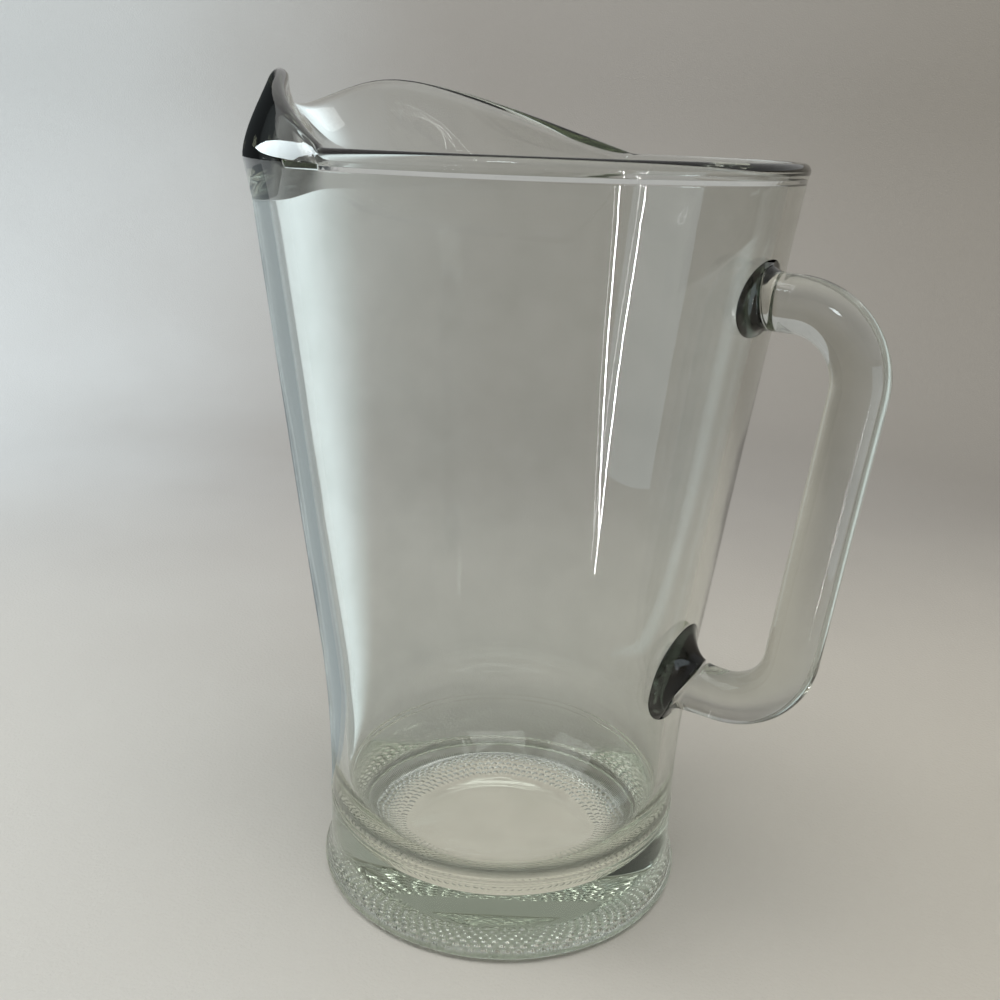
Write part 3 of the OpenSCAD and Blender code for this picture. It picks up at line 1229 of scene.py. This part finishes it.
@dataclass
class Studio:
    """Pale floor and backdrop, soft lamps and the camera at the photograph's angle."""

    finish: ClothFinish = field(default_factory=ClothFinish)
    heading: float = 33.5
    distance: float = 0.2947
    camera_height: float = 0.2121
    pitch: float = 18.33
    roll: float = 2.09
    yaw: float = -0.704
    lens: float = 39.276
    sensor: float = 36.0
    clip_start: float = 0.01
    hub_radius: float = 0.02
    floor_radius: float = 0.55
    floor_steps: int = 24
    cove: float = 0.25
    cove_steps: int = 16
    wall_height: float = 0.37
    wall_steps: int = 6
    columns: int = 160
    bounces: int = 32
    glossy_bounces: int = 16
    room: Colour = (0.22, 0.22, 0.22)
    glass_room: Colour = (0.48, 0.48, 0.47)
    lamps: tuple[Softbox, ...] = (
        Softbox("high_window", (-0.8, 0.0, 1.0), (0.1, 0.8, 0.1), 0.8, 0.8, 5.2, shines=False),
        Softbox("ceiling", (0.10, -0.25, 1.30), (0.0, 0.4, 0.0), 1.0, 1.0, 12.2, shines=False),
        Softbox("streak", (0.157, -0.189, 0.085), (0.028, -0.064, 0.16), 0.0012, 0.17, 0.003, spread=32.0),
        Softbox(
            "streak_two",
            (0.141, -0.206, 0.085),
            (0.026, -0.066, 0.16),
            0.0012,
            0.15,
            0.003,
            spread=32.0,
            roll=15.0,
        ),
    )
    panes: tuple[Pane, ...] = (
        Pane(
            "window_pane",
            8.0,
            ((-0.245, 0.153, 0.25), (-0.33, 0.0, 0.235), (-0.33, 0.0, 0.40), (-0.287, 0.10, 0.38)),
        ),
        Pane(
            "soft_pane",
            1.7,
            ((0.167, -0.228, 0.02), (0.245, -0.123, 0.02), (0.245, -0.123, 0.20), (0.167, -0.228, 0.20)),
        ),
        Pane(
            "lamp_pane",
            14.0,
            ((-0.29, -1.0, 0.99), (-0.07, -1.0, 0.99), (-0.07, -0.95, 1.17), (-0.29, -0.95, 1.17)),
        ),
        Pane(
            "edge_pane",
            0.42,
            ((-0.0612, 0.03, 0.0), (-0.13, 0.03, 0.0), (-0.15, 0.03, 0.195), (-0.0862, 0.03, 0.195)),
            through=True,
        ),
    )
    cards: tuple[Card, ...] = (
        Card("bright_floor_card", -9.0, -22.0, -34.0, 0.03, 0.48, 0.004, 0.004, 1.4, shines=False),
        Card("bright_wall_card", -9.0, -22.0, -34.0, 0.48, 0.48, 0.004, 0.193, 1.4, shines=False),
        Card("dark_lip_card", -14.0, -20.0, -80.0, 0.48, 0.48, 0.195, 0.42, 0.05),
    )

    def seen(self, right: float, away: float, up: float) -> Vector:
        """Turns a place given from the camera's heading into the part's frame.

        Args:
            right: distance to the right of the body's axis.
            away: distance beyond the axis, away from the camera.
            up: height above the table.

        Returns:
            The place in the part's frame.
        """
        turn = math.radians(self.heading)
        side, ahead = math.cos(turn), math.sin(turn)
        return Vector((right * side - away * ahead, right * ahead + away * side, up))

    def build_camera(self) -> None:
        """Sets the camera by its heading, height, pitch, yaw and roll."""
        pitch, roll, yaw = (math.radians(a) for a in (self.pitch, self.roll, self.yaw))
        level = math.cos(pitch)
        forward = self.seen(math.sin(yaw) * level, math.cos(yaw) * level, -math.sin(pitch))
        right = self.seen(math.cos(yaw), -math.sin(yaw), 0.0)
        up = right.cross(forward)
        turned_right = right * math.cos(roll) + up * math.sin(roll)
        turned_up = up * math.cos(roll) - right * math.sin(roll)
        data = bpy.data.cameras.new("camera")
        data.sensor_width = self.sensor
        data.lens = self.lens
        data.clip_start = self.clip_start
        made = bpy.data.objects.new("camera", data)
        axes = Matrix((turned_right, turned_up, -forward)).transposed().to_4x4()
        made.matrix_world = Matrix.Translation(self.seen(0.0, -self.distance, self.camera_height)) @ axes
        bpy.context.scene.collection.objects.link(made)
        bpy.context.scene.camera = made

    def build_backdrop(self) -> None:
        """Makes the floor, which rises in a round cove to a wall on every side."""
        angle = np.arange(self.columns) * 2 * math.pi / self.columns
        floor = line((self.hub_radius, 0.0), (self.floor_radius, 0.0), self.floor_steps)
        cove = arc((self.floor_radius, self.cove), self.cove, -90, 0, self.cove_steps)[1:]
        wall = line(tuple(cove[-1]), (cove[-1][0], self.wall_height), self.wall_steps)[1:]
        rings = [level_ring(point, angle) for point in np.concatenate([floor, cove, wall])]
        numbers = np.arange(len(rings) * self.columns).reshape(-1, self.columns)
        faces = [stitch(a, b)[0][:, ::-1] for a, b in zip(numbers[:-1], numbers[1:])]
        first, hub = numbers[0], np.full(self.columns, numbers.size)
        faces.append(np.stack([first, np.roll(first, -1), hub], 1))
        made = add_mesh("backdrop", np.concatenate([*rings, np.zeros((1, 3))]), faces)
        made.data.materials.append(self.finish.material())

    def build_lamps(self) -> None:
        """Sets the soft lamps."""
        for lamp in self.lamps:
            data = bpy.data.lights.new(lamp.name, "AREA")
            data.shape = "RECTANGLE"
            data.size, data.size_y = lamp.width, lamp.height
            data.energy = lamp.power
            data.spread = math.radians(lamp.spread)
            made = bpy.data.objects.new(lamp.name, data)
            made.visible_glossy = lamp.shines
            place, aim = self.seen(*lamp.place), self.seen(*lamp.aim)
            turned = (aim - place).to_track_quat("-Z", "Y").to_matrix().to_4x4()
            rolled = Matrix.Rotation(math.radians(lamp.roll), 4, "Z")
            made.matrix_world = Matrix.Translation(place) @ turned @ rolled
            bpy.context.scene.collection.objects.link(made)

    def build_cards(self) -> None:
        """Sets the cards and panes, which show only in the glass and through it."""
        for card in (*self.cards, *self.panes):
            corners = np.array([self.seen(*corner) for corner in card.corners()])
            made = add_mesh(card.name, corners, [np.arange(len(corners))[None]])
            made.data.materials.append(card.finish(self.heading).material())
            made.visible_camera = made.visible_diffuse = made.visible_shadow = False
            made.visible_transmission = card.through
            made.visible_glossy = card.shines

    def build_room(self) -> None:
        """Sets the dim room above the backdrop."""
        world = bpy.data.worlds.new("room")
        world.use_nodes = True
        shader = Shader(world.node_tree)
        path = shader.node("ShaderNodeLightPath").outputs
        glass = Value(shader, path["Is Glossy Ray"]) + Value(shader, path["Is Transmission Ray"])
        tone = shader.mix(glass.math("MINIMUM", 1.0), self.room, self.glass_room)
        light = shader.node("ShaderNodeBackground", None, {"Color": tone, "Strength": 1.0})
        shader.node("ShaderNodeOutputWorld", None, {"Surface": light.outputs["Background"]})
        bpy.context.scene.world = world

    def build(self) -> None:
        """Makes the whole set."""
        self.build_camera()
        self.build_backdrop()
        self.build_lamps()
        self.build_cards()
        self.build_room()
        scene = bpy.context.scene
        scene.view_settings.view_transform = "Standard"
        scene.cycles.max_bounces = self.bounces
        scene.cycles.transmission_bounces = self.bounces
        scene.cycles.glossy_bounces = self.glossy_bounces


def main() -> None:
    """Builds the pieces in order and reports them, then builds the studio."""
    logging.basicConfig(level=logging.INFO)
    body = PitcherBody()
    # Painted shade: the handle's glass is a darker copy of the body's, for the shade seen through its grip.
    painted_shade_rod_glass = GlassFinish(
        "handle_glass", clear_tone=(0.80, 0.805, 0.79), worn_tone=(0.74, 0.745, 0.73), ridge_height=0.0
    )
    # Painted shade: the pads' glass is a much denser, darker copy of the body's, for the dark room seen in
    # them.
    painted_shade_pad_glass = GlassFinish("painted_shade_pad_glass", body_colour=(0.34, 0.42, 0.38), density=220.0, ridge_height=0.0)
    handle = RodHandle(painted_shade_rod_glass, painted_shade_pad_glass, JointFinish(), body)
    body.finish = GlassFinish("body_glass", joints=handle.footprints())
    for assembly in (body, handle):
        pieces = assembly.build()
        assembly.dress(pieces)
        for piece in pieces:
            log.info("%s: %d faces", piece.name, len(piece.data.polygons))
    Studio().build()


if __name__ == "__main__":
    main()
